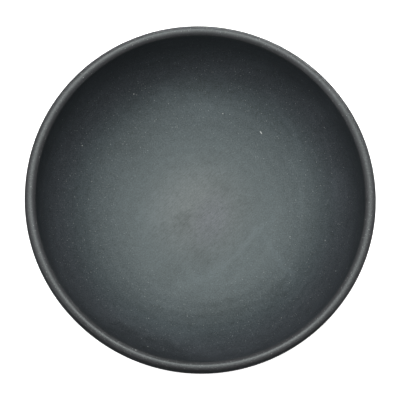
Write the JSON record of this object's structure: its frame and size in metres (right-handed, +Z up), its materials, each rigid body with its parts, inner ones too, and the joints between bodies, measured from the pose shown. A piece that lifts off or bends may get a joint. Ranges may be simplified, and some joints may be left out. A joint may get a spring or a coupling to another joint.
{
  "type": "candle bowl",
  "caption": "Empty round stoneware candle jar: a low, wide bowl with a rounded rim and a matte charcoal glaze, on small stick-on pads.",
  "frame": {"origin": "on the plane that the pads stand on, under the middle of the bowl", "axes": "+Z up along the bowl's axis, with the pads on the diagonals between X and Y"},
  "size_m": [0.12, 0.12, 0.0474],
  "materials": {
    "clay": "bare fired stoneware, dark and slightly sandy",
    "glaze": "smooth matte charcoal glaze, with a faint cloudy tone and a soft satin sheen on the rim",
    "adhesive": "milky acrylic adhesive",
    "pad": "soft satin polyurethane"
  },
  "bodies": {
    "root": {"stoneware_body": "clay", "glaze_coat": "glaze", "adhesive_discs": "adhesive", "foot_pad_1": "pad", "foot_pad_2": "pad", "foot_pad_3": "pad", "foot_pad_4": "pad"}
  },
  "joints": []
}
